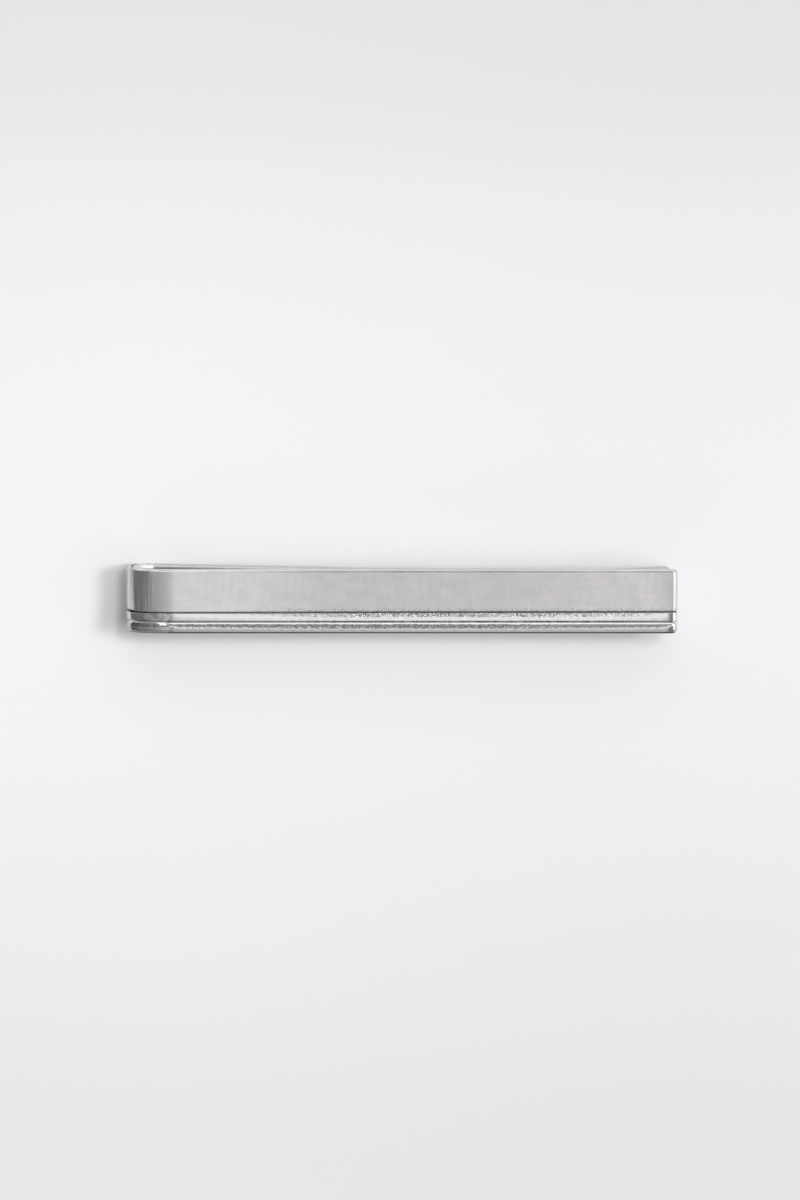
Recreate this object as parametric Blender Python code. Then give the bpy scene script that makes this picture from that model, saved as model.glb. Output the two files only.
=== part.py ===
# Slide-on tie bar: a folded backing strip that carries three face strips, and a spring leaf behind it.
# It lies on its leaf, face up. X runs along the bar with the fold at -X, +Y is the plain long edge,
# the bead runs along -Y. The origin is below the middle, on the surface that the bar lies on.
import math

import bmesh
import bpy

# Lengths are in metres and angles in degrees.
bar_length = 0.055

# Across the face, from the plain edge to the bead
face_width = 0.0041
rail_width = 0.0008
bead_width = 0.00125
seam_gap = 0.00012

# Through the metal
face_thickness = 0.00055
backing_thickness = 0.00075
solder_gap = 0.0001
leaf_thickness = 0.0009

# The fold, measured on its outer surface, from the face round to the leaf
ease_radius = 0.016
ease_angle = 10.0
crown_radius = 0.0025
heel_radius = 0.0015
return_length = 0.0012

# The leaf, from the joint under the fold to its flared tip
butt_gap = 0.0001
leaf_slope = 4.4
settle_radius = 0.03
grip_clearance = 0.0002
flare_radius = 0.012
flare_angle = 16.0
tip_setback = 0.0004
tip_width = 0.0055
tip_corner_radius = 0.001

# Edges
face_bevel = 0.0002
strip_bevel = 0.00006
backing_bevel = 0.0001
leaf_bevel = 0.00015
end_bevel = 0.00025
end_bevel_angle = 45.0
end_corner_radius = 0.0004

# How finely round stretches are drawn, how far cutters pass what they cut, and what is welded
bend_step = 4.0
bead_steps = 14
corner_steps = 6
overrun = 0.001
weld_distance = 0.000001
smooth_angle = 35.0

bar_width = face_width + rail_width + bead_width + 2 * seam_gap
front_thickness = face_thickness + solder_gap + backing_thickness

# Middle of each face strip across the bar
face_y = (bar_width - face_width) / 2
bead_y = (bead_width - bar_width) / 2
rail_y = bead_y + (bead_width + rail_width) / 2 + seam_gap


class SideLine:
    """A line drawn in the bar's side view: x along the bar from the fold's nose, z up, heading in degrees."""

    def __init__(self, x, z, heading):
        self.points = [(x, z)]
        self.heading = heading

    def straight(self, length):
        x, z = self.points[-1]
        angle = math.radians(self.heading)
        self.points.append((x + length * math.cos(angle), z + length * math.sin(angle)))
        return self

    def bend(self, radius, turn):
        # A positive turn is anticlockwise in the side view
        side = math.copysign(1, turn)
        x, z = self.points[-1]
        angle = math.radians(self.heading)
        centre_x = x - side * radius * math.sin(angle)
        centre_z = z + side * radius * math.cos(angle)
        steps = max(2, math.ceil(abs(turn) / bend_step))
        for step in range(1, steps + 1):
            now = angle + math.radians(turn) * step / steps
            self.points.append(
                (centre_x + side * radius * math.sin(now), centre_z - side * radius * math.cos(now))
            )
        self.heading += turn
        return self


def bar_depth():
    """Height of the face above the lowest line of the fold."""
    ease = math.radians(ease_angle)
    return heel_radius + crown_radius * math.cos(ease) + ease_radius * (1 - math.cos(ease))


def front_line():
    """Outer surface of the front, from the right end of the face round the fold to the joint with the leaf."""
    ease = math.radians(ease_angle)
    fold_reach = ease_radius * math.sin(ease) + crown_radius * (1 - math.sin(ease))
    line = SideLine(bar_length, bar_depth(), 180.0)
    line.straight(bar_length - fold_reach)
    line.bend(ease_radius, ease_angle)
    line.bend(crown_radius, 90.0 - ease_angle)
    line.bend(heel_radius, 90.0)
    line.bend(heel_radius, leaf_slope)
    line.straight(return_length)
    return line


def leaf_line(front):
    """Outer surface of the leaf: up to the back of the front, along it, then out again to the tip."""
    slope, flare = math.radians(leaf_slope), math.radians(flare_angle)
    line = SideLine(*front.points[-1], leaf_slope)
    line.straight(butt_gap)
    line.points = line.points[1:]
    start_x, start_z = line.points[0]
    grip_z = bar_depth() - front_thickness - grip_clearance - leaf_thickness
    rise = grip_z - start_z - settle_radius * (1 - math.cos(slope))
    line.straight(rise / math.sin(slope))
    line.bend(settle_radius, -leaf_slope)
    tip_length = (grip_z - flare_radius * (1 - math.cos(flare))) / math.sin(flare)
    flare_reach = (flare_radius + leaf_thickness) * math.sin(flare) + tip_length * math.cos(flare)
    line.straight(bar_length - tip_setback - flare_reach - line.points[-1][0])
    line.bend(flare_radius, -flare_angle)
    line.straight(tip_length)
    return line


def bevelled_section(width, top, bottom, outer_bevel, inner_bevel):
    """A strip's cross-section: across, then outwards. Top and bottom are depths under the outer surface."""
    half = width / 2
    return [
        (-half, -bottom + inner_bevel),
        (-half, -top - outer_bevel),
        (-half + outer_bevel, -top),
        (half - outer_bevel, -top),
        (half, -top - outer_bevel),
        (half, -bottom + inner_bevel),
        (half - inner_bevel, -bottom),
        (-half + inner_bevel, -bottom),
    ]


def face_section():
    """The satin strip: a wider bevel along the plain edge, a fine one along the seam."""
    half = face_width / 2
    return [
        (-half, -face_thickness),
        (-half, -strip_bevel),
        (-half + strip_bevel, 0.0),
        (half - face_bevel, 0.0),
        (half, -face_bevel),
        (half, -face_thickness),
    ]


def rail_section():
    half = rail_width / 2
    return [
        (-half, -face_thickness),
        (-half, -strip_bevel),
        (-half + strip_bevel, 0.0),
        (half - strip_bevel, 0.0),
        (half, -strip_bevel),
        (half, -face_thickness),
    ]


def bead_section():
    """Half-round: as high as the face strips are thick."""
    angles = [math.pi * step / bead_steps for step in range(bead_steps + 1)]
    return [
        (-bead_width / 2 * math.cos(angle), face_thickness * (math.sin(angle) - 1))
        for angle in angles
    ]


def poly_curve(name, points, flat, closed, collection):
    data = bpy.data.curves.new(name, "CURVE")
    data.dimensions = "2D" if flat else "3D"
    spline = data.splines.new("POLY")
    spline.points.add(len(points) - 1)
    for target, point in zip(spline.points, points):
        target.co = (*point, 1.0)
    spline.use_cyclic_u = closed
    curve = bpy.data.objects.new(name, data)
    collection.objects.link(curve)
    return curve


def mesh_from_curve(curve, name, collection):
    """The curve's evaluated shape as a welded mesh object, in place of the curve."""
    graph = bpy.context.evaluated_depsgraph_get()
    mesh = bpy.data.meshes.new_from_object(curve.evaluated_get(graph))
    mesh.name = name
    shape = bmesh.new()
    shape.from_mesh(mesh)
    bmesh.ops.remove_doubles(shape, verts=shape.verts, dist=weld_distance)
    bmesh.ops.recalc_face_normals(shape, faces=shape.faces)
    shape.to_mesh(mesh)
    shape.free()
    solid = bpy.data.objects.new(name, mesh)
    solid.matrix_world = curve.matrix_world
    collection.objects.link(solid)
    bpy.data.objects.remove(curve)
    return solid


def swept_strip(name, points, section, finish):
    """A strip of the given section that follows a line of the side view."""
    path = poly_curve(name + "_path", [(x, 0.0, z) for x, z in points], False, False, parts)
    profile = poly_curve(name + "_section", [(y, out, 0.0) for y, out in section], True, True, parts)
    path.data.bevel_mode = "OBJECT"
    path.data.bevel_object = profile
    path.data.use_fill_caps = True
    path.data.twist_mode = "MINIMUM"
    strip = mesh_from_curve(path, name, parts)
    bpy.data.objects.remove(profile)
    strip.data.materials.clear()
    strip.data.materials.append(finish)
    strip.data.shade_smooth()
    strip.data.set_sharp_from_angle(angle=math.radians(smooth_angle))
    return strip


def metal(name, colour, roughness):
    material = bpy.data.materials.new(name)
    material.use_nodes = True
    shader = material.node_tree.nodes["Principled BSDF"]
    shader.inputs["Base Color"].default_value = (*colour, 1.0)
    shader.inputs["Metallic"].default_value = 1.0
    shader.inputs["Roughness"].default_value = roughness
    return material


def as_cutter(cutter, carrier):
    cutter.hide_render = True
    cutter.display_type = "WIRE"
    cutter.parent = carrier
    return cutter


def cut(solid, cutter):
    boolean = solid.modifiers.new("cut_" + cutter.name, "BOOLEAN")
    boolean.operation = "DIFFERENCE"
    boolean.solver = "EXACT"
    boolean.object = cutter


def corner_cutter(name, carrier, end_x, half_width, radius, side):
    """Takes the sharp corner off the right end of a strip, in plan, on the +Y or -Y side."""
    centre_x, centre_y = end_x - radius, side * (half_width - radius)
    arc = []
    for step in range(corner_steps + 1):
        angle = math.pi / 2 * step / corner_steps
        arc.append((centre_x + radius * math.sin(angle), centre_y + side * radius * math.cos(angle)))
    outside = [
        (end_x + overrun, centre_y),
        (end_x + overrun, side * (half_width + overrun)),
        (centre_x, side * (half_width + overrun)),
    ]
    outline = poly_curve(name + "_outline", [(x, y, 0.0) for x, y in arc + outside], True, True, cutters)
    outline.data.fill_mode = "BOTH"
    outline.data.extrude = bar_depth() / 2 + overrun
    outline.location.z = bar_depth() / 2
    bpy.context.view_layer.update()
    return as_cutter(mesh_from_curve(outline, name, cutters), carrier)


def end_bevel_cutter():
    """A tilted block that bevels the right end of the three face strips."""
    side = 2 * overrun + 2 * end_bevel
    bpy.ops.mesh.primitive_cube_add(size=1.0)
    block = bpy.context.object
    block.name = "end_bevel_cutter"
    for owner in list(block.users_collection):
        owner.objects.unlink(block)
    cutters.objects.link(block)
    for vertex in block.data.vertices:
        vertex.co.x *= side
        vertex.co.y *= bar_width + 2 * overrun
        vertex.co.z *= side
    tilt = math.radians(end_bevel_angle)
    reach = side / 2
    block.location = (
        bar_length - end_bevel / 2 + reach * math.sin(tilt),
        0.0,
        bar_depth() - end_bevel / 2 + reach * math.cos(tilt),
    )
    block.rotation_euler.y = tilt
    return as_cutter(block, bar_root)


def make_backing(front, finish, plain_corner, bead_corner):
    section = bevelled_section(
        bar_width, face_thickness + solder_gap, front_thickness, strip_bevel, backing_bevel
    )
    backing = swept_strip("folded_backing", front.points, section, finish)
    backing.parent = bar_root
    cut(backing, plain_corner)
    cut(backing, bead_corner)


def make_face_strips(front, satin, polished, plain_corner, bead_corner):
    bevel_block = end_bevel_cutter()
    for name, across, section, finish, corner in (
        ("satin_face_strip", face_y, face_section(), satin, plain_corner),
        ("flat_rail", rail_y, rail_section(), polished, None),
        ("bead_rail", bead_y, bead_section(), polished, bead_corner),
    ):
        strip = swept_strip(name, front.points, section, finish)
        strip.parent = bar_root
        strip.location.y = across
        cut(strip, bevel_block)
        if corner:
            cut(strip, corner)


def make_leaf(line, finish):
    root_x = line.points[0][0]
    tip_x = bar_length - tip_setback

    # Drawn from the tip to the root, so that the section's outward side faces the front
    section = bevelled_section(bar_width, -leaf_thickness, 0.0, leaf_bevel, leaf_bevel)
    leaf = swept_strip("spring_leaf", list(reversed(line.points)), section, finish)
    leaf.parent = leaf_root
    for vertex in leaf.data.vertices:
        along = (vertex.co.x - root_x) / (tip_x - root_x)
        along = min(1.0, max(0.0, along))
        vertex.co.y *= 1.0 + along * (tip_width / bar_width - 1.0)
    for name, side in (("tip_upper_cutter", 1), ("tip_lower_cutter", -1)):
        cut(leaf, corner_cutter(name, leaf_root, tip_x, tip_width / 2, tip_corner_radius, side))


def new_empty(name, parent, x, z):
    empty = bpy.data.objects.new(name, None)
    empty.empty_display_size = bar_width / 2
    empty.parent = parent
    empty.location = (x, 0.0, z)
    parts.objects.link(empty)
    return empty


for leftover in list(bpy.data.objects):
    bpy.data.objects.remove(leftover)

parts = bpy.data.collections.new("tie_bar")
cutters = bpy.data.collections.new("cutters")
bpy.context.scene.collection.children.link(parts)
bpy.context.scene.collection.children.link(cutters)

front_outline = front_line()
leaf_outline = leaf_line(front_outline)

# The leaf lies on the table, and the bar turns about the middle of the leaf's root, where the fold meets it
slope_angle = math.radians(leaf_slope)
leaf_root_x, leaf_root_z = leaf_outline.points[0]
hinge_x = leaf_root_x - (butt_gap * math.cos(slope_angle) + leaf_thickness * math.sin(slope_angle)) / 2
hinge_z = leaf_root_z + (leaf_thickness * math.cos(slope_angle) - butt_gap * math.sin(slope_angle)) / 2
leaf_root = new_empty("leaf_root", None, -bar_length / 2, 0.0)
leaf_hinge = new_empty("leaf_hinge", leaf_root, hinge_x, hinge_z)
bar_root = new_empty("bar_root", leaf_hinge, -hinge_x, -hinge_z)

satin_silver = metal("satin_silver", (0.72, 0.72, 0.70), 0.32)
polished_silver = metal("polished_silver", (0.82, 0.82, 0.81), 0.1)
spring_silver = metal("spring_silver", (0.74, 0.74, 0.73), 0.2)

plain_edge_corner, bead_edge_corner = (
    corner_cutter(name, bar_root, bar_length, bar_width / 2, end_corner_radius, side)
    for name, side in (("plain_edge_corner_cutter", 1), ("bead_edge_corner_cutter", -1))
)
make_backing(front_outline, polished_silver, plain_edge_corner, bead_edge_corner)
make_face_strips(front_outline, satin_silver, polished_silver, plain_edge_corner, bead_edge_corner)
make_leaf(leaf_outline, spring_silver)
bpy.context.view_layer.update()
print("hinge at", [round(value, 6) for value in (hinge_x - bar_length / 2, 0.0, hinge_z)])
print("bar depth", round(bar_depth(), 6), "width", round(bar_width, 6), "face y", round(face_y, 6))
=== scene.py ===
import math
import bpy
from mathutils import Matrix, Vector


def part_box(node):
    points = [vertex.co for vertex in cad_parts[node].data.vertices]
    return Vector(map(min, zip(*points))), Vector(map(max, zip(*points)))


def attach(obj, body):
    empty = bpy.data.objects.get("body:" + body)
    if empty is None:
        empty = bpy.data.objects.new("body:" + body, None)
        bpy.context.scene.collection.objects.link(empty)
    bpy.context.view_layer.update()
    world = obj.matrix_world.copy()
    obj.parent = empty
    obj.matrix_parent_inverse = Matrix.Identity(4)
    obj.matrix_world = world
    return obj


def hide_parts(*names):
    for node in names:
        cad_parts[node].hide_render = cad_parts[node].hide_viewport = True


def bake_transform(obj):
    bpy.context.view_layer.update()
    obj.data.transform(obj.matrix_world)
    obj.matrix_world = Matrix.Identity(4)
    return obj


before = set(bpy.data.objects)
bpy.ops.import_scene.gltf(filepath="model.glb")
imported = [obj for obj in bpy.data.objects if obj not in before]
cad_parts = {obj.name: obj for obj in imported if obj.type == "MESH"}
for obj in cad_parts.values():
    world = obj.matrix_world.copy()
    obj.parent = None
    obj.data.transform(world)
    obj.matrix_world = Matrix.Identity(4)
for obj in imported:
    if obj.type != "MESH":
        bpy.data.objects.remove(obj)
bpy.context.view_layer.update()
print("frame loaded:", ", ".join(sorted(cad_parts)))

scene = bpy.context.scene
scene.view_settings.view_transform = "Standard"

# Lengths are in metres and angles in degrees. X runs along the bar with the fold at -X,
# the bead lies along -Y and the face looks up +Z.
bar = {
    "length": 0.055,
    "width": 0.00639,
    "easeRadius": 0.016,  # the long shoulder before the fold
    "easeAngle": 10.0,
    "crownRadius": 0.0025,
    "railCrownRadius": 0.0016,  # the two rails turn down more tightly
    "heelRadius": 0.0015,
    "returnLength": 0.0012,
    "leafSlope": 4.4,
    "bendStep": 1.5,
    "straightStep": 0.0006,
    "crownStep": 0.0002,
    "endStep": 0.00004,
    "endRound": 0.00055,
    "cornerRadius": 0.0005,
    "cornerReach": 0.0012,  # how far in from a long edge a rounded corner is felt
    "noseCorner": 0.00045,
    "noseCornerBead": 0.35,  # the bead's side of the nose is rounded by this share
    "seamY": -0.00096,
    "seamDrift": 0.00011,  # over the bar's length
    "driftReachPlain": 0.003,  # how far from the seam the drift is felt, on each side
    "driftReachBead": 0.0009,
    "sharpAngle": 35.0,
    "weldDistance": 0.0000005,
}
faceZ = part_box("satin_face_strip")[1].z
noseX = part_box("satin_face_strip")[0].x
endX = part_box("satin_face_strip")[1].x


def nodeMaker(tree):
    # a short way to add a node, set it and wire its inputs
    def make(kind, wires=None, **settings):
        node = tree.nodes.new(kind)
        for key, value in settings.items():
            setattr(node, key, value)
        for key, value in (wires or {}).items():
            if isinstance(value, bpy.types.NodeSocket):
                tree.links.new(value, node.inputs[key])
            else:
                node.inputs[key].default_value = value
        return node
    return make


def calcMaker(make):
    # maths on sockets or plain numbers; gives the result's socket
    def calc(operation, *values, clamp=False):
        node = make("ShaderNodeMath", dict(enumerate(values)), operation=operation)
        node.use_clamp = clamp
        return node.outputs[0]
    return calc


def productMaker(calc):
    # all the values multiplied, from the left
    def product(first, *others):
        for value in others:
            first = calc("MULTIPLY", first, value)
        return first
    return product


def fadeMaker(make):
    # eases from one level to another while the value goes from low to high
    def fade(value, low, high, before=0.0, after=1.0):
        return make("ShaderNodeMapRange", {0: value, 1: low, 2: high, 3: before, 4: after},
                    interpolation_type="SMOOTHSTEP").outputs[0]
    return fade


def ramp(make, value, low, high, stops):
    # a colour ramp whose stops are at places between low and high
    share = make("ShaderNodeMapRange", {0: value, 1: low, 2: high, 3: 0.0, 4: 1.0},
                 interpolation_type="LINEAR")
    node = make("ShaderNodeValToRGB", {0: share.outputs[0]})
    elements = node.color_ramp.elements
    while len(elements) > 1:
        elements.remove(elements[-1])
    for k, (place, tone) in enumerate(stops):
        position = (place - low) / (high - low)
        element = elements[0] if k == 0 else elements.new(position)
        element.position = position
        element.color = tone if isinstance(tone, tuple) else (tone, tone, tone, 1.0)
    return node.outputs[0]


class SideLine:
    # a line in the bar's side view: x along the bar, z up, heading in degrees
    def __init__(self, x, z, heading):
        self.points = [(x, z)]
        self.heading = heading

    def straight(self, length, step):
        x, z = self.points[-1]
        angle = math.radians(self.heading)
        count = max(1, math.ceil(length / step))
        for k in range(1, count + 1):
            gone = length * k / count
            self.points.append((x + gone * math.cos(angle), z + gone * math.sin(angle)))

    def bend(self, radius, turn):
        side = math.copysign(1, turn)  # a positive turn is anticlockwise
        x, z = self.points[-1]
        angle = math.radians(self.heading)
        centreX = x - side * radius * math.sin(angle)
        centreZ = z + side * radius * math.cos(angle)
        count = max(4, math.ceil(abs(turn) / bar["bendStep"]))
        for k in range(1, count + 1):
            now = angle + math.radians(turn) * k / count
            self.points.append((centreX + side * radius * math.sin(now),
                                centreZ - side * radius * math.cos(now)))
        self.heading += turn


def frontLine(crownRadius):
    # the outer surface, from the open end of the face round the fold to the leaf's root;
    # a tighter crown has short straights before and after it, so the nose stays in place
    ease = math.radians(bar["easeAngle"])
    foldReach = bar["easeRadius"] * math.sin(ease) + bar["crownRadius"] * (1 - math.sin(ease))
    tighter = bar["crownRadius"] - crownRadius
    slant = tighter * (1 - math.sin(ease)) / math.cos(ease)
    line = SideLine(endX, faceZ, 180.0)
    line.straight(bar["cornerRadius"], bar["endStep"])
    line.straight(bar["length"] - bar["cornerRadius"] - foldReach, bar["straightStep"])
    line.bend(bar["easeRadius"], bar["easeAngle"])
    if tighter > 0.0:
        line.straight(slant, bar["crownStep"])
    line.bend(crownRadius, 90.0 - bar["easeAngle"])
    if tighter > 0.0:
        line.straight(tighter * math.cos(ease) - slant * math.sin(ease), bar["crownStep"])
    line.bend(bar["heelRadius"], 90.0)
    line.bend(bar["heelRadius"], bar["leafSlope"])
    line.straight(bar["returnLength"], bar["straightStep"])
    return line.points


leaf = {
    "thickness": 0.0009,
    "buttGap": 0.00002,
    "gripDepth": 0.0016,  # from the face down to the leaf, where it runs along the back
    "settleRadius": 0.03,
    "flareRadius": 0.012,
    "flareAngle": 16.0,
    "tipSetback": 0.0003,
    "tipStep": 0.00016,
    "tipWidth": 0.0058,
    "tipCorner": 0.0009,
    "bendBefore": 0.004,  # a reach on the fold's side of the joint, and one on the tip's side
    "bendAfter": 0.006,  # to here, on the tip's side
}


def leafLine(front):
    # the leaf's lower surface: up to the back of the front, along it, then out to the flared tip
    slope, flare = math.radians(bar["leafSlope"]), math.radians(leaf["flareAngle"])
    x, z = front[-1]
    x, z = x + leaf["buttGap"] * math.cos(slope), z + leaf["buttGap"] * math.sin(slope)
    gripZ = faceZ - leaf["gripDepth"] - leaf["thickness"]
    line = SideLine(x, z, bar["leafSlope"])
    rise = gripZ - z - leaf["settleRadius"] * (1 - math.cos(slope))
    line.straight(rise / math.sin(slope), bar["straightStep"])
    line.bend(leaf["settleRadius"], -bar["leafSlope"])
    tipLength = (gripZ - leaf["flareRadius"] * (1 - math.cos(flare))) / math.sin(flare)
    tipReach = ((leaf["flareRadius"] + leaf["thickness"]) * math.sin(flare)
                + tipLength * math.cos(flare))
    line.straight(endX - leaf["tipSetback"] - tipReach - line.points[-1][0], bar["straightStep"])
    line.bend(leaf["flareRadius"], -leaf["flareAngle"])
    line.straight(tipLength, leaf["tipStep"])
    return line.points


def makeStripTree():
    # sweeps a rounded section along a line, then shapes the open end and the nose
    tree = bpy.data.node_groups.new("sweptStrip", "GeometryNodeTree")
    tree.is_modifier = True
    tree.interface.new_socket("Line", in_out="INPUT", socket_type="NodeSocketGeometry")
    for label in (
        "Width", "Thickness", "Depth", "Across", "Squash",
        "Outer Round Plus", "Outer Round Minus", "Inner Round Plus", "Inner Round Minus",
        "End X", "End Round", "Top Z", "Taper Start X", "End Scale",
        "Corner Radius", "Corner Half Width", "Corner Reach", "Nose X", "Nose Corner",
        "Seam Y", "Seam Drift",
    ):
        tree.interface.new_socket(label, in_out="INPUT", socket_type="NodeSocketFloat")
    tree.interface.new_socket("Round Steps", in_out="INPUT", socket_type="NodeSocketInt")
    tree.interface.new_socket("Finish", in_out="INPUT", socket_type="NodeSocketMaterial")
    tree.interface.new_socket("Strip", in_out="OUTPUT", socket_type="NodeSocketGeometry")
    make = nodeMaker(tree)
    calc = calcMaker(make)
    product = productMaker(calc)
    given = make("NodeGroupInput").outputs

    def placeNow():
        position = make("GeometryNodeInputPosition").outputs[0]
        return make("ShaderNodeSeparateXYZ", {0: position}).outputs

    def pick(chooser, yes, no):
        return make("ShaderNodeMix", {0: chooser, 2: no, 3: yes}, data_type="FLOAT").outputs[0]

    def quarterRound(radius, into):
        # how far a quarter circle has dropped, this far into it
        rest = calc("SUBTRACT", product(radius, radius), product(into, into))
        return calc("SUBTRACT", radius, calc("SQRT", calc("MAXIMUM", rest, 0.0)))

    # the section: x is across the bar, y is inwards from the line
    box = make("GeometryNodeCurvePrimitiveQuadrilateral",
               {"Width": given["Width"],
                "Height": calc("DIVIDE", given["Thickness"], given["Squash"])},
               mode="RECTANGLE")
    corner = placeNow()
    plus = calc("GREATER_THAN", corner["X"], 0.0)
    outer = calc("LESS_THAN", corner["Y"], 0.0)
    outerRound = pick(plus, given["Outer Round Plus"], given["Outer Round Minus"])
    innerRound = pick(plus, given["Inner Round Plus"], given["Inner Round Minus"])
    rounded = make("GeometryNodeFilletCurve",
                   {"Curve": box.outputs[0], "Count": given["Round Steps"], "Limit Radius": True,
                    "Radius": pick(outer, outerRound, innerRound)}, mode="POLY")
    middle = calc("ADD", calc("MULTIPLY", given["Thickness"], 0.5), given["Depth"])
    place = make("ShaderNodeCombineXYZ", {"X": given["Across"], "Y": middle})
    squash = make("ShaderNodeCombineXYZ", {"X": 1.0, "Y": given["Squash"], "Z": 1.0})
    section = make("GeometryNodeTransform",
                   {"Geometry": rounded.outputs[0], "Translation": place.outputs[0],
                    "Scale": squash.outputs[0]})
    line = make("GeometryNodeMeshToCurve", {"Mesh": given["Line"]})
    sweep = make("GeometryNodeCurveToMesh",
                 {"Curve": line.outputs[0], "Profile Curve": section.outputs[0],
                  "Fill Caps": True})

    # the open end: rounded over the top, and a taper towards it
    here = placeNow()
    fromEnd = calc("SUBTRACT", given["End X"], here["X"])
    intoEnd = calc("MAXIMUM", calc("SUBTRACT", given["End Round"], fromEnd), 0.0)
    drop = quarterRound(given["End Round"], intoEnd)
    underside = calc("SUBTRACT", given["Top Z"], given["Thickness"])
    height = calc("DIVIDE", calc("SUBTRACT", here["Z"], underside), given["Thickness"], clamp=True)
    newZ = calc("SUBTRACT", here["Z"], product(drop, height))
    share = calc("DIVIDE", calc("SUBTRACT", here["X"], given["Taper Start X"]),
                 calc("SUBTRACT", given["End X"], given["Taper Start X"]), clamp=True)
    scale = calc("ADD", product(share, calc("SUBTRACT", given["End Scale"], 1.0)), 1.0)

    # the corners of the open end and of the nose, rounded in plan
    intoCorner = calc("MAXIMUM", calc("SUBTRACT", given["Corner Radius"], fromEnd), 0.0)
    cutBack = quarterRound(given["Corner Radius"], intoCorner)
    fromNose = calc("SUBTRACT", given["Nose X"], here["X"])
    intoNose = calc("MAXIMUM", calc("ADD", fromNose, given["Nose Corner"]), 0.0)
    noseShare = calc("MULTIPLY_ADD", calc("GREATER_THAN", here["Y"], 0.0),
                     1.0 - bar["noseCornerBead"], bar["noseCornerBead"])
    cutBack = calc("ADD", cutBack, product(quarterRound(given["Nose Corner"], intoNose), noseShare))
    reachFrom = calc("SUBTRACT", given["Corner Half Width"], given["Corner Reach"])
    outerPart = calc("DIVIDE", calc("SUBTRACT", calc("ABSOLUTE", here["Y"]), reachFrom),
                     given["Corner Reach"], clamp=True)
    pullIn = product(cutBack, outerPart, calc("SIGN", here["Y"]))
    newY = calc("SUBTRACT", product(here["Y"], scale), pullIn)

    # the seam runs a little out of true: nearest it the strips shift, at the long edges they don't
    fromSeam = calc("SUBTRACT", newY, given["Seam Y"])
    above = calc("SUBTRACT", 1.0, calc("DIVIDE", fromSeam, bar["driftReachPlain"]))
    below = calc("ADD", 1.0, calc("DIVIDE", fromSeam, bar["driftReachBead"]))
    pull = calc("MAXIMUM", calc("MINIMUM", above, below), 0.0)
    along = calc("DIVIDE", here["X"], given["End X"])
    halfDrift = calc("MULTIPLY", given["Seam Drift"], 0.5)
    newY = calc("ADD", newY, product(pull, along, halfDrift))

    position = make("ShaderNodeCombineXYZ", {"X": here["X"], "Y": newY, "Z": newZ})
    shaped = make("GeometryNodeSetPosition",
                  {"Geometry": sweep.outputs[0], "Position": position.outputs[0]})
    welded = make("GeometryNodeMergeByDistance",
                  {"Geometry": shaped.outputs[0], "Distance": bar["weldDistance"]})
    smooth = make("GeometryNodeSetShadeSmooth",
                  {"Geometry": welded.outputs[0], "Shade Smooth": True}, domain="FACE")
    steep = calc("GREATER_THAN", make("GeometryNodeInputMeshEdgeAngle").outputs["Unsigned Angle"],
                 math.radians(bar["sharpAngle"]))
    crisp = make("GeometryNodeSetShadeSmooth",
                 {"Geometry": smooth.outputs[0], "Selection": steep, "Shade Smooth": False},
                 domain="EDGE")
    whole = make("GeometryNodeRealizeInstances", {"Geometry": crisp.outputs[0]})
    finished = make("GeometryNodeSetMaterial",
                    {"Geometry": whole.outputs[0], "Material": given["Finish"]})
    make("NodeGroupOutput", {0: finished.outputs[0]})
    return tree


stripTree = makeStripTree()


def makeStrip(name, linePoints, sizes, finish):
    # the tree's result as a plain mesh piece, with its normals weighted to the flats
    guide = bpy.data.meshes.new(name + "Line")
    guide.from_pydata([(x, 0.0, z) for x, z in linePoints],
                      [(k, k + 1) for k in range(len(linePoints) - 1)], [])
    host = bpy.data.objects.new(name + "Line", guide)
    scene.collection.objects.link(host)
    sweep = host.modifiers.new("sweep", "NODES")
    sweep.node_group = stripTree
    values = {"Corner Half Width": 1.0, "Top Z": 1.0, "End Scale": 1.0, "Squash": 1.0,
              "Corner Reach": bar["cornerReach"], "End X": endX, "Nose X": noseX,
              "Taper Start X": noseX, "Finish": finish, **sizes}
    for item in stripTree.interface.items_tree:
        if item.in_out == "INPUT" and item.name in values:
            sweep[item.identifier] = values[item.name]
    weighting = host.modifiers.new("weightedNormals", "WEIGHTED_NORMAL")
    weighting.keep_sharp = True
    graph = bpy.context.evaluated_depsgraph_get()
    mesh = bpy.data.meshes.new_from_object(host.evaluated_get(graph),
                                           preserve_all_data_layers=True, depsgraph=graph)
    mesh.name = name
    host.modifiers.clear()
    bpy.data.objects.remove(host)
    piece = bpy.data.objects.new(name, mesh)
    scene.collection.objects.link(piece)
    print("strip made:", name, len(mesh.polygons), "faces")
    return piece


metal = {
    "coolTint": (0.988, 1.0, 0.995),
    "noiseGain": 4.0,  # the noise strays about a quarter from its middle
}


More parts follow.
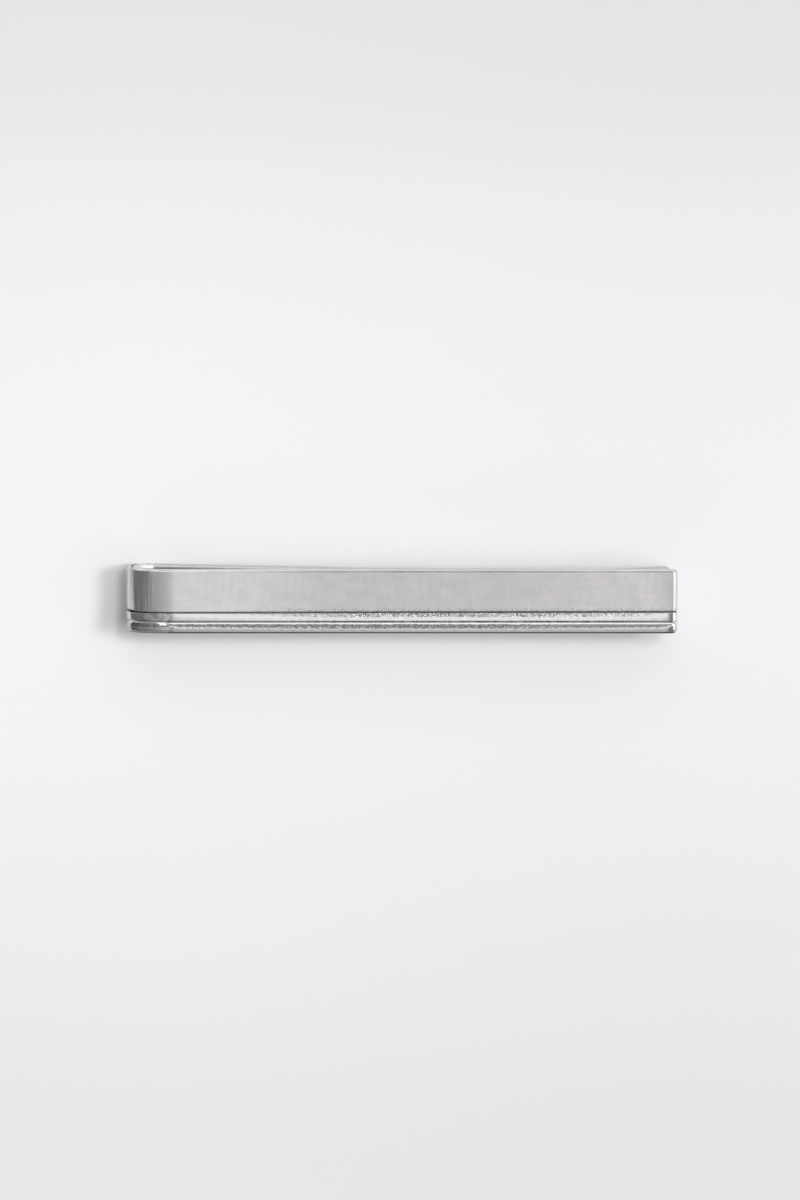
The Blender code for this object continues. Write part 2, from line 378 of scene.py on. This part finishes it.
class Finish:
    # a metal with its even values on the shader, and short ways to wire its pattern
    def __init__(self, name, look):
        self.material = bpy.data.materials.new(name)
        self.material.use_nodes = True
        self.tree = self.material.node_tree
        self.shader = self.tree.nodes["Principled BSDF"]
        self.make = nodeMaker(self.tree)
        self.calc = calcMaker(self.make)
        self.product = productMaker(self.calc)
        self.fade = fadeMaker(self.make)
        self.shader.inputs["Metallic"].default_value = 1.0
        self.shader.inputs["Anisotropic"].default_value = look["anisotropy"]
        # the metal is rubbed along the bar, so it spreads the light across it
        across = self.make("ShaderNodeCombineXYZ", {"Y": 1.0})
        self.tree.links.new(across.outputs[0], self.shader.inputs["Tangent"])
        coords = self.make("ShaderNodeTexCoord").outputs["Object"]
        inMm = self.make("ShaderNodeVectorMath", {0: coords, 1: (1000.0, 1000.0, 1000.0)},
                         operation="MULTIPLY")
        self.mm = inMm.outputs[0]
        self.x, self.y, self.z = self.make("ShaderNodeSeparateXYZ", {0: self.mm}).outputs

    def noise(self, turns, detail, rough, shift):
        # turns a millimetre along x, y and z
        place = self.make("ShaderNodeVectorMath", {0: self.mm, 1: turns, 2: (shift, shift, shift)},
                          operation="MULTIPLY_ADD").outputs[0]
        return self.make("ShaderNodeTexNoise", {"Vector": place, "Scale": 1.0, "Detail": detail,
                                                "Roughness": rough}).outputs["Fac"]

    def band(self, value, low, high, soft):
        # 1 between low and high, with soft edges
        return self.product(self.fade(value, low - soft, low + soft),
                            self.fade(value, high - soft, high + soft, 1.0, 0.0))

    def darken(self, tone, mask, depth):
        # takes depth off the tone where the mask is 1; a negative depth brightens it
        return self.product(tone, self.calc("SUBTRACT", 1.0, self.product(mask, depth)))

    def around(self, noise, reach):
        # 1 plus or minus about reach
        return self.calc("MULTIPLY_ADD", self.calc("SUBTRACT", noise, 0.5),
                         reach * metal["noiseGain"], 1.0)

    def paint(self, colour, tone, tint):
        # where the tint is 1 the metal is a touch greener and cooler
        cool = [part * share for part, share in zip(colour, metal["coolTint"])]
        base = self.make("ShaderNodeMix", {0: tint, 6: (*colour, 1.0), 7: (*cool, 1.0)},
                         data_type="RGBA").outputs[2]
        toned = self.make("ShaderNodeVectorMath", {0: base, 3: tone}, operation="SCALE")
        self.tree.links.new(toned.outputs[0], self.shader.inputs["Base Color"])

    def rough(self, level, noise, reach):
        value = self.product(level, self.around(noise, reach))
        self.tree.links.new(value, self.shader.inputs["Roughness"])

    def relief(self, *layers):
        # layers of (height, distance in metres), each bump on top of the last
        wires = {"Strength": 1.0}
        for height, distance in layers:
            bump = self.make("ShaderNodeBump", {**wires, "Distance": distance, "Height": height})
            wires["Normal"] = bump.outputs[0]
        self.tree.links.new(wires["Normal"], self.shader.inputs["Normal"])


# In the finishes, a grain is turns a millimetre along x, y and z, then detail, roughness and shift.
# A place is where a fade starts and ends, in millimetres, then its level before and after,
# or a band's two edges and their softness.
satin = {
    "colour": (0.93, 0.908, 0.894),
    "roughness": 0.25,
    "roughnessReach": 0.1,
    "anisotropy": 0.7,
    "mottle": 0.08,
    "mottleGrain": ((0.45, 0.9, 0.9), 4.0, 0.5, 0.0),
    "streak": 0.03,
    "streakGrain": ((2.4, 0.5, 0.5), 3.0, 0.55, 3.0),
    "tintGrain": ((0.25, 0.5, 0.5), 2.0, 0.5, 5.0),
    "tintSpots": (0.35, 0.65),
    "foldStreaks": 0.34,
    "foldGrain": ((2.6, 0.16, 2.0), 3.0, 0.6, 7.0),
    "foldPlace": (-25.4, -23.2, 1.0, 0.0),
    # painted shade on the nose of the fold
    "noseBandShade": 0.45,
    "noseBandRise": (-27.5, -26.95),
    "noseBandFall": (-26.75, -26.1, 1.0, 0.0),
    # painted light and shade along the bar: brighter towards the ends, darker at the bend and along
    # the middle
    "paintedLightReach": 27.5,
    "paintedLight": ((-26.0, 1.0), (-25.3, 0.71), (-24.6, 0.8), (-23.9, 0.72), (-23.1, 0.81), (-22.5, 1.0),
             (-17.2, 1.0), (-14.2, 0.97), (-10.2, 0.88), (-5.2, 0.83), (9.7, 0.83), (18.7, 0.92),
             (24.7, 0.98), (26.0, 0.93), (26.9, 0.86)),
    "jointTarnish": 0.52,
    "jointBand": (3.065, 3.165, 0.02),
    "jointAlong": (-15.0, 35.0, 8.0),
    "jointGrain": ((0.5, 0.2, 0.2), 3.0, 0.6, 13.0),
    # the plain long side's edge face is darker
    "sideDarker": 0.1,
    "sidePlace": (3.15, 3.18),
    "edgeSpeckle": 0.3,
    "speckleGrain": ((5.5, 4.0, 4.0), 3.0, 0.65, 11.0),
    "speckleSpots": (0.42, 0.62),
    "speckleAcross": (-0.85, -0.45, 1.0, 0.0),
    "speckleAlong": (-19.0, -11.0),
    "dents": 0.000012,
    "dentGrain": ((0.5, 0.7, 0.7), 2.0, 0.4, 9.0),
    "brushDepth": 0.000004,
    "brushGrain": ((0.6, 14.0, 14.0), 3.0, 0.6, 0.0),
}


def makeSatin():
    look = satin
    finish = Finish("satinSilver", look)
    calc, product, fade, noise = finish.calc, finish.product, finish.fade, finish.noise
    mottle = noise(*look["mottleGrain"])
    tone = product(finish.around(mottle, look["mottle"]),
                   finish.around(noise(*look["streakGrain"]), look["streak"]))
    # the fold: streaks across the bar, and painted shade on its nose
    streaks = product(calc("SUBTRACT", noise(*look["foldGrain"]), 0.5),
                      fade(finish.x, *look["foldPlace"]))
    tone = product(tone, calc("MULTIPLY_ADD", streaks, look["foldStreaks"] * metal["noiseGain"],
                              1.0))
    noseBand = product(fade(finish.x, *look["noseBandRise"]), fade(finish.x, *look["noseBandFall"]))
    tone = finish.darken(tone, noseBand, look["noseBandShade"])
    # painted light and shade along the bar
    tone = product(tone, ramp(finish.make, finish.x, -look["paintedLightReach"], look["paintedLightReach"],
                              look["paintedLight"]))
    # tarnish caught in the joint along the plain edge, strongest in the middle
    uneven = calc("ADD", 0.5, noise(*look["jointGrain"]))
    joint = product(finish.band(finish.y, *look["jointBand"]),
                    product(finish.band(finish.x, *look["jointAlong"]), uneven))
    tone = finish.darken(tone, joint, look["jointTarnish"])
    # darker on the plain long side's edge face
    tone = finish.darken(tone, fade(finish.y, *look["sidePlace"]), look["sideDarker"])
    # fine dark speckle along the seam
    speckle = product(fade(noise(*look["speckleGrain"]), *look["speckleSpots"]),
                      fade(finish.y, *look["speckleAcross"]), fade(finish.x, *look["speckleAlong"]))
    tone = finish.darken(tone, speckle, look["edgeSpeckle"])
    finish.paint(look["colour"], tone, fade(noise(*look["tintGrain"]), *look["tintSpots"]))
    finish.rough(look["roughness"], mottle, look["roughnessReach"])
    finish.relief((noise(*look["dentGrain"]), look["dents"]),
                  (noise(*look["brushGrain"]), look["brushDepth"]))
    return finish.material


polished = {
    "colour": (0.84, 0.835, 0.82),
    "roughness": 0.055,
    "roughnessReach": 0.15,
    "anisotropy": 0.2,
    "mottle": 0.03,
    "mottleGrain": ((0.8, 2.0, 2.0), 4.0, 0.5, 0.0),
    "midBar": (-9.0, 23.0, 3.0),
    "pits": 0.42,
    "pitDepth": 0.00001,
    "pitGrain": ((5.6, 4.6, 4.6), 2.0, 0.6, 2.0),
    "pitSpots": (0.5, 0.58),
    "pitBand": (-1.42, -0.9, 0.12),
    "grooveDashes": 0.3,
    "dashGrain": ((2.4, 0.6, 0.6), 3.0, 0.65, 15.0),
    "dashSpots": (0.47, 0.53),
    "dashBand": (-1.91, -1.83, 0.02),
    "beadMarks": 0.4,
    "markGrain": ((3.4, 5.5, 5.5), 3.0, 0.6, 6.0),
    "markSpots": (0.45, 0.58),
    "markBand": (-2.66, -2.2, 0.06),
    "markAlong": (8.0, 16.0, 1.0, 0.35),
    # painted shade on the flat rail at the fold
    "railFoldShade": 0.34,
    "railFoldGrain": ((2.2, 1.2, 2.2), 3.0, 0.65, 21.0),
    "railFoldSpots": (0.35, 0.65, 0.35, 1.5),
    "railFoldAlong": (-26.4, -22.9, 0.5),
    "railFoldAcross": (-1.95, -1.85),
    # painted shade on the bead's lower flank and under its edge
    "flankShade": 0.24,
    "flankShadeBand": (-2.95, -2.6, 0.06),
    "lowEdgeShade": 0.85,
    "lowEdgeShadePlace": (-3.06, -2.98, 1.0, 0.0),
    # painted shade on the rails at the nose of the fold
    "railNoseShade": 0.22,
    "railNosePlace": (-27.1, -26.8, 1.0, 0.0),
    "ripple": 0.00002,
    "rippleGrain": ((1.3, 3.6, 3.6), 3.0, 0.55, 4.0),
    "calmAtFold": (-18.0, -6.0, 0.2, 1.0),
    "calmAtEnd": (12.0, 20.0, 1.0, 0.3),
}


def makePolished():
    look = polished
    finish = Finish("polishedSilver", look)
    product, fade, noise = finish.product, finish.fade, finish.noise
    mottle = noise(*look["mottleGrain"])
    tone = finish.around(mottle, look["mottle"])
    # pits where the rail meets the seam, fewer towards the ends of the bar
    midBar = finish.band(finish.x, *look["midBar"])
    pits = product(fade(noise(*look["pitGrain"]), *look["pitSpots"]),
                   product(finish.band(finish.y, *look["pitBand"]), midBar))
    tone = finish.darken(tone, pits, look["pits"])
    # broken tarnish along the groove, and marks on top of the bead
    dashes = product(fade(noise(*look["dashGrain"]), *look["dashSpots"]), midBar,
                     finish.band(finish.y, *look["dashBand"]))
    tone = finish.darken(tone, dashes, look["grooveDashes"])
    onBead = product(finish.band(finish.y, *look["markBand"]), fade(finish.x, *look["markAlong"]))
    marks = product(fade(noise(*look["markGrain"]), *look["markSpots"]), onBead)
    tone = finish.darken(tone, marks, look["beadMarks"])
    # painted shade, uneven, on the flat rail where it turns into the fold
    railFold = product(finish.band(finish.x, *look["railFoldAlong"]),
                    fade(finish.y, *look["railFoldAcross"]),
                    fade(noise(*look["railFoldGrain"]), *look["railFoldSpots"]))
    tone = finish.darken(tone, railFold, look["railFoldShade"])
    # painted shade: the bead's lower flank is darker, and darker still under its edge
    tone = finish.darken(tone, finish.band(finish.y, *look["flankShadeBand"]), look["flankShade"])
    tone = finish.darken(tone, fade(finish.y, *look["lowEdgeShadePlace"]), look["lowEdgeShade"])
    # painted shade on the rails at the nose
    tone = finish.darken(tone, fade(finish.x, *look["railNosePlace"]), look["railNoseShade"])
    finish.paint(look["colour"], tone, mottle)
    finish.rough(look["roughness"], mottle, look["roughnessReach"])
    calm = product(fade(finish.x, *look["calmAtFold"]), fade(finish.x, *look["calmAtEnd"]))
    finish.relief((product(noise(*look["rippleGrain"]), calm), look["ripple"]),
                  (pits, -look["pitDepth"]))
    return finish.material


edges = {
    "colour": (0.67, 0.665, 0.65),
    "roughness": 0.22,
    "roughnessReach": 0.2,
    "anisotropy": 0.0,
    "mottle": 0.05,
    "mottleGrain": ((1.0, 1.0, 1.0), 4.0, 0.5, 0.0),
    "scuffs": 0.12,
    "scuffGrain": ((0.7, 6.0, 6.0), 3.0, 0.6, 8.0),
    "scuffSpots": (0.55, 0.7),
    # painted shade at the bottom of the seam
    "seamShade": 0.3,
    "seamShadeBand": (-1.1, -0.9, 0.03),
    "seamShadeAbove": (3.2, 3.5),
    # a painted highlight on the rim of the return under the fold
    "rimHighlight": 0.45,
    "rimBelow": (2.4, 2.0),  # runs downwards
    "rimAlong": (-26.3, -25.6),
    "rimAcross": (2.75, 2.9),
    "dents": 0.00002,
    "dentGrain": ((1.6, 1.6, 1.6), 3.0, 0.5, 1.0),
}


def makeEdges():
    look = edges
    finish = Finish("tumbledSilver", look)
    product, fade, noise = finish.product, finish.fade, finish.noise
    mottle = noise(*look["mottleGrain"])
    tone = finish.around(mottle, look["mottle"])
    scuffs = fade(noise(*look["scuffGrain"]), *look["scuffSpots"])
    tone = finish.darken(tone, scuffs, look["scuffs"])
    # painted shade at the bottom of the seam, and a painted highlight on the rim of the return
    # under the fold
    inSeam = product(finish.band(finish.y, *look["seamShadeBand"]), fade(finish.z, *look["seamShadeAbove"]))
    tone = finish.darken(tone, inSeam, look["seamShade"])
    rim = product(fade(finish.z, *look["rimBelow"]), fade(finish.x, *look["rimAlong"]),
                  fade(finish.y, *look["rimAcross"]))
    tone = finish.darken(tone, rim, -look["rimHighlight"])
    finish.paint(look["colour"], tone, mottle)
    finish.rough(look["roughness"], mottle, look["roughnessReach"])
    finish.relief((noise(*look["dentGrain"]), look["dents"]))
    return finish.material


spring = {
    "colour": (0.62, 0.615, 0.6),
    "roughness": 0.38,
    "roughnessReach": 0.1,
    "anisotropy": 0.4,
    "mottle": 0.05,
    "mottleGrain": ((0.3, 1.5, 1.5), 4.0, 0.5, 0.0),
    "scratches": 0.18,
    "scratchGrain": ((0.25, 9.0, 9.0), 3.0, 0.6, 5.0),
    "scratchSpots": (0.58, 0.68),
    # painted shade along the leaf's +Y edge, most on the fold's side
    "leafEdgeShade": 0.05,
    "edgeAcross": (2.8, 2.9),
    "edgeAlong": (-12.0, -2.0, 1.0, 0.3),
    # darker towards the tip
    "tipDarker": 0.08,
    "tipPlace": (14.0, 20.0),
    "dents": 0.000015,
    "dentGrain": ((0.8, 0.8, 0.8), 2.0, 0.5, 3.0),
    "brushDepth": 0.000008,
    "brushGrain": ((0.35, 10.0, 10.0), 3.0, 0.6, 0.0),
}


def makeSpring():
    look = spring
    finish = Finish("springSilver", look)
    product, fade, noise = finish.product, finish.fade, finish.noise
    mottle = noise(*look["mottleGrain"])
    tone = finish.around(mottle, look["mottle"])
    scratches = fade(noise(*look["scratchGrain"]), *look["scratchSpots"])
    tone = finish.darken(tone, scratches, look["scratches"])
    # painted shade along the leaf's +Y edge, most on the fold's side
    edge = product(fade(finish.y, *look["edgeAcross"]), fade(finish.x, *look["edgeAlong"]))
    tone = finish.darken(tone, edge, look["leafEdgeShade"])
    # darker towards the tip
    tone = finish.darken(tone, fade(finish.x, *look["tipPlace"]), look["tipDarker"])
    finish.paint(look["colour"], tone, mottle)
    finish.rough(look["roughness"], scratches, look["roughnessReach"])
    finish.relief((noise(*look["dentGrain"]), look["dents"]),
                  (noise(*look["brushGrain"]), look["brushDepth"]))
    return finish.material


satinSilver, polishedSilver = makeSatin(), makePolished()
tumbledSilver, springSilver = makeEdges(), makeSpring()
print("finishes made")

front, railFront = frontLine(bar["crownRadius"]), frontLine(bar["railCrownRadius"])
leafPath = leafLine(front)

# shared by the four strips of the front, and by the three that show on its face
openEnd = {"Corner Radius": bar["cornerRadius"], "Corner Half Width": bar["width"] / 2,
           "Nose Corner": bar["noseCorner"], "Seam Y": bar["seamY"]}
onFace = {**openEnd, "End Round": bar["endRound"], "Top Z": faceZ, "Seam Drift": bar["seamDrift"]}

satinFace = {"Width": 0.00412, "Thickness": 0.00055, "Depth": 0.0, "Across": 0.001135,
             "Outer Round Plus": 0.00012, "Outer Round Minus": 0.00006, "Round Steps": 7}
flatRail = {"Width": 0.00079, "Thickness": 0.00055, "Depth": 0.0, "Across": -0.001485,
            "Outer Round Plus": 0.00004, "Outer Round Minus": 0.00004, "Round Steps": 4}
beadRail = {"Width": 0.00125, "Thickness": 0.00055, "Depth": 0.0, "Across": -0.00257,
            "Squash": 0.54,
            "Outer Round Plus": 0.00074, "Outer Round Minus": 0.0005, "Round Steps": 20}
backing = {"Width": bar["width"], "Thickness": 0.00075, "Depth": 0.00065, "Across": 0.0,
           "Outer Round Plus": 0.00012, "Outer Round Minus": 0.00006,
           "Inner Round Plus": 0.00036, "Inner Round Minus": 0.0003, "Round Steps": 5}

for name, line, sizes, finish, node, slotName in (
    ("satinFace", front, {**satinFace, **onFace}, satinSilver, "satin_face_strip", "satin_face"),
    ("flatRail", railFront, {**flatRail, **onFace}, polishedSilver, "flat_rail", "polished_rails"),
    ("beadRail", railFront, {**beadRail, **onFace}, polishedSilver, "bead_rail", "polished_rails"),
    ("foldedBacking", front, {**backing, **openEnd}, tumbledSilver, "folded_backing", "backing"),
):
    piece = makeStrip(name, line, sizes, finish)
    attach(piece, "bar")
    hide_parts(node)

# swept from the tip to the root, above its line, so its outer edges are the upper ones
leafStrip = {"Width": bar["width"], "Thickness": leaf["thickness"], "Depth": -leaf["thickness"],
             "Across": 0.0, "Outer Round Plus": 0.0003, "Outer Round Minus": 0.0003,
             "Inner Round Plus": 0.00015, "Inner Round Minus": 0.00015, "Round Steps": 5,
             "End X": endX - leaf["tipSetback"], "Taper Start X": leafPath[0][0],
             "End Scale": leaf["tipWidth"] / bar["width"], "Corner Radius": leaf["tipCorner"],
             "Corner Half Width": bar["width"] / 2}
springLeaf = makeStrip("springLeaf", list(reversed(leafPath)), leafStrip, springSilver)
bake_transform(springLeaf)
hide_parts("spring_leaf")
print("pieces placed")

camera = {
    "tilt": 11.4,
    "distance": 0.45,
    "imageHeight": 0.11932,  # what the picture's height takes in, at the face
    "targetX": -0.000145,
    "targetY": 0.000255,
    "clipStart": 0.01,
    "clipEnd": 20.0,
}


def makeCamera():
    data = bpy.data.cameras.new("camera")
    eye = bpy.data.objects.new("camera", data)
    scene.collection.objects.link(eye)
    tilt = math.radians(camera["tilt"])
    data.lens = data.sensor_width * camera["distance"] / camera["imageHeight"]
    data.clip_start, data.clip_end = camera["clipStart"], camera["clipEnd"]
    eye.location = (camera["targetX"], camera["targetY"] + camera["distance"] * math.sin(tilt),
                    faceZ + camera["distance"] * math.cos(tilt))
    eye.rotation_euler = (-tilt, 0.0, 0.0)
    scene.camera = eye


makeCamera()

floorSheet = {
    "colour": (0.885, 0.886, 0.905),
    "roughness": 0.9,
    "gloss": 0.1,
    "radius": 3.0,
    "innerRings": (0.05, 0.2, 0.8),
    "rimHeight": 0.06,
    "rimWidth": 0.5,
    "rimSteps": 8,
    "sides": 96,
    # a painted pool of light along Y, over the picture's height, darker towards both edges
    "shadeReach": 0.06,
    "shade": ((-0.06, 0.9), (-0.0528, 0.91), (-0.0444, 0.935), (-0.0288, 0.965), (-0.0156, 1.0),
              (-0.006, 1.01), (0.0144, 1.01), (0.0264, 0.995), (0.0396, 0.96), (0.0504, 0.905),
              (0.06, 0.88)),
    "farSide": (-0.03, 0.035, 1.0, 0.965),  # painted shade: a little darker towards the open end
}


def makeFloor():
    # a wide pale sheet whose far rim curls up
    sheet, count = floorSheet, floorSheet["sides"]
    rings = [*sheet["innerRings"], sheet["radius"] - sheet["rimWidth"]]
    rings += [sheet["radius"] - sheet["rimWidth"] * (1 - k / sheet["rimSteps"])
              for k in range(1, sheet["rimSteps"] + 1)]
    points, faces = [(0.0, 0.0, 0.0)], []
    for radius in rings:
        rise = max(0.0, 1 - (sheet["radius"] - radius) / sheet["rimWidth"])
        for k in range(count):
            angle = 2 * math.pi * k / count
            points.append((radius * math.cos(angle), radius * math.sin(angle),
                           sheet["rimHeight"] * rise * rise))
    for k in range(count):
        faces.append((0, 1 + k, 1 + (k + 1) % count))
    for ring in range(len(rings) - 1):
        base = 1 + ring * count
        for k in range(count):
            after = (k + 1) % count
            faces.append((base + k, base + count + k, base + count + after, base + after))
    mesh = bpy.data.meshes.new("floor")
    mesh.from_pydata(points, [], faces)
    mesh.shade_smooth()
    floor = bpy.data.objects.new("floor", mesh)
    scene.collection.objects.link(floor)
    material = bpy.data.materials.new("paleSheet")
    material.use_nodes = True
    make = nodeMaker(material.node_tree)
    shader = material.node_tree.nodes["Principled BSDF"]
    shader.inputs["Roughness"].default_value = sheet["roughness"]
    shader.inputs["Specular IOR Level"].default_value = sheet["gloss"]
    coords = make("ShaderNodeTexCoord").outputs["Object"]
    across, place = make("ShaderNodeSeparateXYZ", {0: coords}).outputs[:2]
    # the painted pool of light along Y
    stops = [(along, (*(tone * part for part in sheet["colour"]), 1.0))
             for along, tone in sheet["shade"]]
    shade = ramp(make, place, -sheet["shadeReach"], sheet["shadeReach"], stops)
    # painted shade towards the open end
    dim = fadeMaker(make)(across, *sheet["farSide"])
    shade = make("ShaderNodeVectorMath", {0: shade, 3: dim}, operation="SCALE").outputs[0]
    material.node_tree.links.new(shade, shader.inputs["Base Color"])
    mesh.materials.append(material)


# The studio that the metal mirrors. Cards are given by the direction they lie in: x, y and z
# of its unit vector, as the two ends of a fade and then the level before and after.
studio = {
    # brightness by angle from straight up, positive towards +Y, over and beyond the long edges
    "overhead": ((-90, 0.25), (-78, 0.25), (-68, 0.45), (-58, 0.54), (-45, 0.58), (-34, 0.7),
                 (-24, 0.95), (-11, 0.97), (-7, 0.34), (5, 0.32), (22, 0.34), (30, 0.45),
                 (38, 0.92), (46, 1.12), (84, 1.12), (90, 0.9)),
    "shadeCentre": 0.008,  # the overhead shade bows to both sides of this x
    "shadeBow": (0.0, 40.0, 5000.0, 0.0),  # in full up to straight above, none from 40 degrees
    "stripLeft": (-0.115, -0.085),
    "stripRight": (0.15, 0.3, 1.0, 0.0),
    # brightness by x of the direction, beyond the fold and beyond the open end
    "sides": ((-1.0, 0.2), (-0.96, 0.2), (-0.88, 0.16), (-0.8, 0.16), (-0.68, 0.18), (-0.55, 0.18),
              (-0.42, 0.22), (-0.36, 0.33), (-0.28, 0.45), (-0.2, 0.6), (-0.115, 0.72), (0.0, 0.5),
              (0.14, 0.45), (0.34, 0.45), (0.42, 1.3), (0.9, 1.35), (1.0, 0.4)),
    # the side cards are narrow: only what the fold and the open end reflect
    "sideY": -0.2,
    "sideHalfWidth": (0.16, 0.3),
    "besideCards": 0.2,
    "besideLift": 0.35,  # added except on the bead's side beyond the open end
    "besideSplitX": 0.1,
    # low on the +Y side, which the rounded edges and the fold's corner pick up
    "farCard": 0.15,
    "farCardY": (0.6, 0.78),
    # low beyond both long edges, which the face picks up when it is seen from the side
    "lowCards": 0.65,
    "lowCardsZ": (0.38, 0.52, 1.0, 0.0),
    "lowCardsY": (0.6, 0.75),
    # a narrow card that the rim under the fold picks up
    "cornerCard": 1.1,
    "cornerCardLeft": (-0.23, -0.21),
    "cornerCardRight": (-0.15, -0.13, 1.0, 0.0),
    "cornerCardY": (0.3, 0.4),
    # the key lamp's face, as the metal sees it
    "keyFace": 1.6,
    "keyFaceReach": 9.0,
    "keyFaceEdge": (1.25, 0.85),  # shares of the reach between which it fades
    "keyLamp": {"power": 60.0, "size": 1.1, "height": 0.8, "azimuth": 12.0, "elevation": 42.0,
                "distance": 4.0, "mirrored": False},
    "fillLamp": {"power": 40.0, "size": 1.0, "height": 1.0, "azimuth": 47.0, "elevation": 58.0,
                 "distance": 4.0, "mirrored": True},
}


def lampPlace(lamp):
    azimuth, elevation = math.radians(lamp["azimuth"]), math.radians(lamp["elevation"])
    return (lamp["distance"] * math.cos(elevation) * math.cos(azimuth),
            lamp["distance"] * math.cos(elevation) * math.sin(azimuth),
            lamp["distance"] * math.sin(elevation))


def makeSurroundings():
    # a soft box overhead, pale cards beyond the long edges, dim on the fold's side
    world = bpy.data.worlds.new("studio")
    scene.world = world
    world.use_nodes = True
    tree = world.node_tree
    make = nodeMaker(tree)
    calc, fade = calcMaker(make), fadeMaker(make)
    product = productMaker(calc)
    direction = make("ShaderNodeTexCoord").outputs["Generated"]
    towards = make("ShaderNodeSeparateXYZ", {0: direction}).outputs
    x, y, z = towards["X"], towards["Y"], towards["Z"]

    plain = calc("MULTIPLY", calc("ARCTAN2", y, z), 180 / math.pi)
    off = calc("SUBTRACT", x, studio["shadeCentre"])
    angle = calc("SUBTRACT", plain, product(off, off, fade(plain, *studio["shadeBow"])))
    overhead = ramp(make, angle, -90.0, 90.0, studio["overhead"])
    sides = ramp(make, x, -1.0, 1.0, studio["sides"])
    lifted = calc("MAXIMUM", calc("LESS_THAN", x, studio["besideSplitX"]),
                  calc("GREATER_THAN", y, studio["sideY"]))
    dim = calc("ADD", studio["besideCards"], calc("MULTIPLY", lifted, studio["besideLift"]))
    fromSide = calc("ABSOLUTE", calc("SUBTRACT", y, studio["sideY"]))
    beside = fade(fromSide, *studio["sideHalfWidth"], 1.0, dim)
    inStrip = product(fade(x, *studio["stripLeft"]), fade(x, *studio["stripRight"]))
    outside = calc("SUBTRACT", 1.0, inStrip)
    level = calc("ADD", product(overhead, inStrip), product(sides, beside, outside))

    beyond = product(fade(y, *studio["farCardY"]), outside)
    level = calc("ADD", level, product(beyond, studio["farCard"]))
    low = product(fade(z, *studio["lowCardsZ"]), fade(calc("ABSOLUTE", y), *studio["lowCardsY"]),
                  outside)
    level = calc("ADD", level, product(low, studio["lowCards"]))
    corner = product(fade(x, *studio["cornerCardLeft"]), fade(x, *studio["cornerCardRight"]),
                     fade(y, *studio["cornerCardY"]))
    level = calc("ADD", level, product(corner, studio["cornerCard"]))

    centre = [v / studio["keyLamp"]["distance"] for v in lampPlace(studio["keyLamp"])]
    near = make("ShaderNodeVectorMath", {0: direction, 1: centre},
                operation="DOT_PRODUCT").outputs["Value"]
    fadeFrom, fadeTo = (math.cos(math.radians(studio["keyFaceReach"]) * share)
                        for share in studio["keyFaceEdge"])
    level = calc("ADD", level, fade(near, fadeFrom, fadeTo, 0.0, studio["keyFace"]))
    grey = make("ShaderNodeCombineColor", {0: level, 1: level, 2: level}).outputs[0]
    tree.links.new(grey, tree.nodes["Background"].inputs["Color"])


def makeLamp(name):
    lamp = studio[name]
    data = bpy.data.lights.new(name, "AREA")
    data.shape = "RECTANGLE"
    data.size, data.size_y = lamp["size"], lamp["height"]
    data.energy = lamp["power"]
    holder = bpy.data.objects.new(name, data)
    scene.collection.objects.link(holder)
    holder.location = lampPlace(lamp)
    holder.rotation_euler = holder.location.to_track_quat("Z", "Y").to_euler()
    holder.visible_glossy = lamp["mirrored"]


makeFloor()
makeSurroundings()
makeLamp("keyLamp")
makeLamp("fillLamp")
print("studio made")
